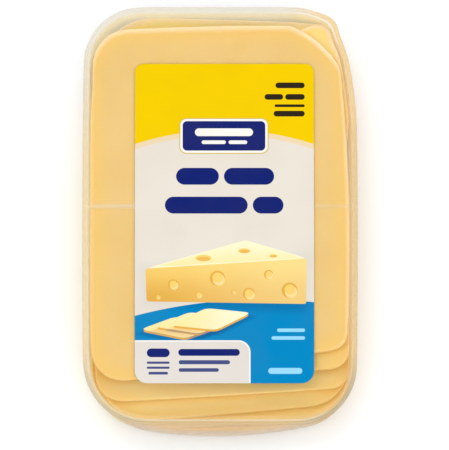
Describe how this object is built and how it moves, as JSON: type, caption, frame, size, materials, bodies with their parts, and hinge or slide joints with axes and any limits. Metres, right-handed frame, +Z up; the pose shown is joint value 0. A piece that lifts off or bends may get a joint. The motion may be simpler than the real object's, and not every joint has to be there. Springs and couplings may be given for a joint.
{
  "type": "pack of sliced cheese",
  "caption": "Clear sealed tray of shingled yellow cheese slices with a clear lid film and a rounded paper label, lying on its back.",
  "frame": {"origin": "under the middle of the pack, at the level of the surface it lies on", "axes": "+Z up through the label, +Y along the pack towards the label's upper end, +X to the label's right"},
  "size_m": [0.1186, 0.1854, 0.0254],
  "materials": {
    "clear_plastic": "clear thermoformed plastic, glossy, slightly milky at grazing angles",
    "cheese": "pale yellow semi-hard cheese, faintly moist, a little translucent at the cut edges",
    "clear_film": "thin clear film, glossy",
    "printed_paper": "smooth printed label in yellow, off-white and blue fields"
  },
  "bodies": {
    "root": {"tray": "clear_plastic", "slice_01": "cheese", "slice_02": "cheese", "slice_03": "cheese", "slice_04": "cheese", "slice_05": "cheese", "slice_06": "cheese", "slice_07": "cheese", "slice_08": "cheese", "slice_09": "cheese", "slice_10": "cheese", "lid_film": "clear_film", "label": "printed_paper"}
  },
  "joints": []
}
